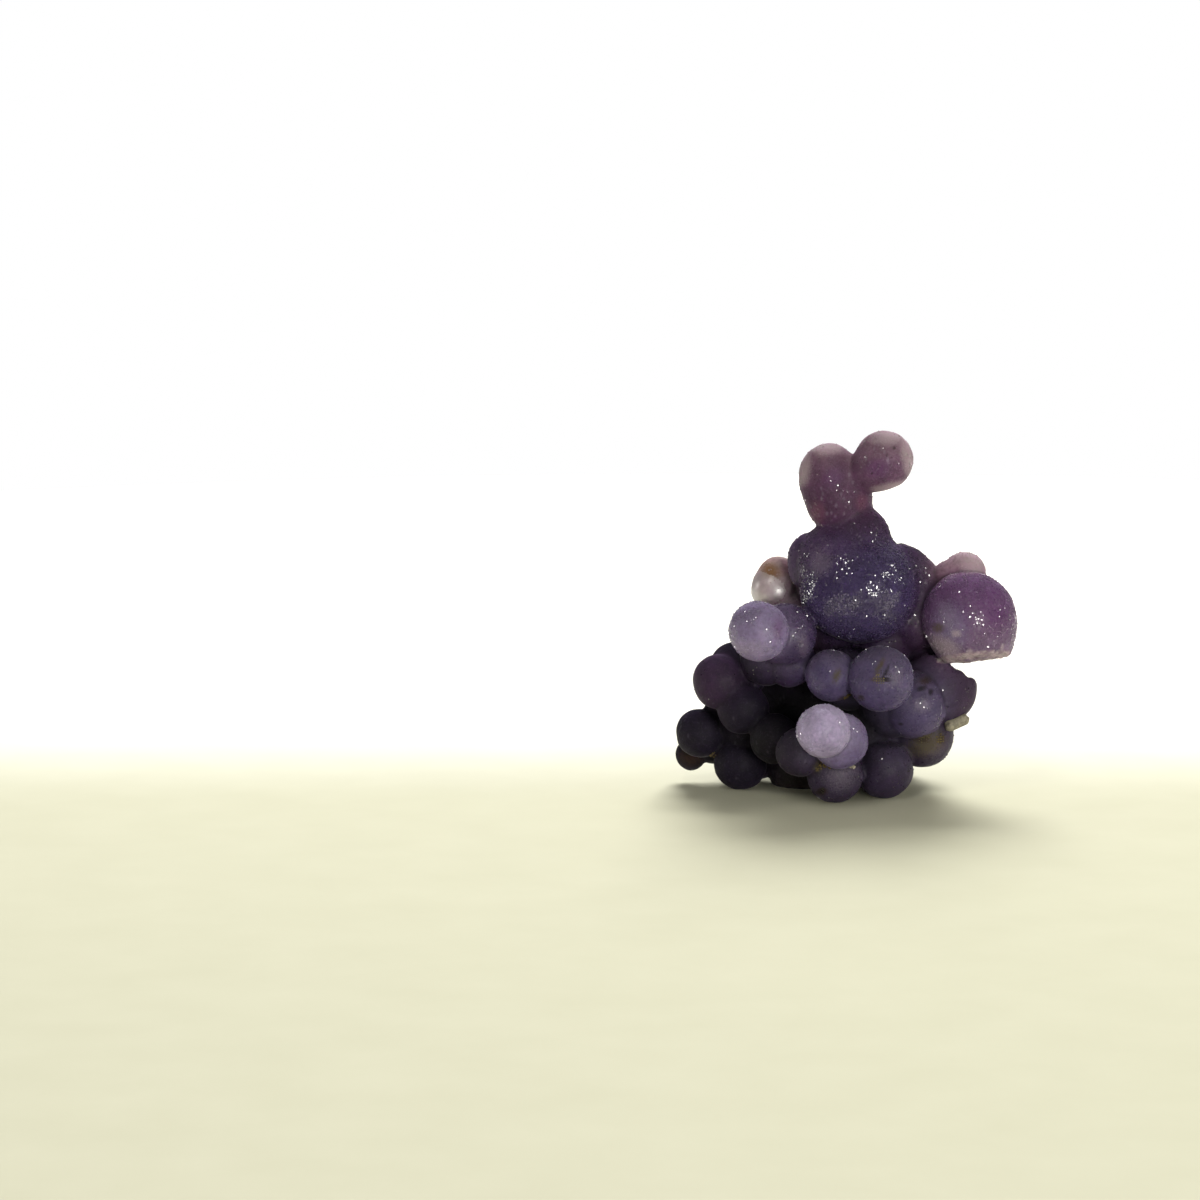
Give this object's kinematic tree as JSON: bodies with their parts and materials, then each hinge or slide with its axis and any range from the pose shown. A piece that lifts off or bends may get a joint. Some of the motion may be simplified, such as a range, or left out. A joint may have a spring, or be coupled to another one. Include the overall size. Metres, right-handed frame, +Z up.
{
  "type": "grape agate",
  "caption": "Botryoidal cluster of purple chalcedony balls grown together, with a two-ball crown on a neck above a bunch, standing on its broken root",
  "frame": {"origin": "under the middle of the cluster's box, on the surface that it stands on", "axes": "+Z up, along the tallest extent from the broken root to the crown; +Y away from the front, +X to the right seen from the front"},
  "size_m": [0.0403, 0.0342, 0.0437],
  "materials": {
    "chalcedony": "translucent purple chalcedony with a waxy to glassy, finely sugared skin"
  },
  "bodies": {
    "root": {"grape_agate": "chalcedony"}
  },
  "joints": []
}
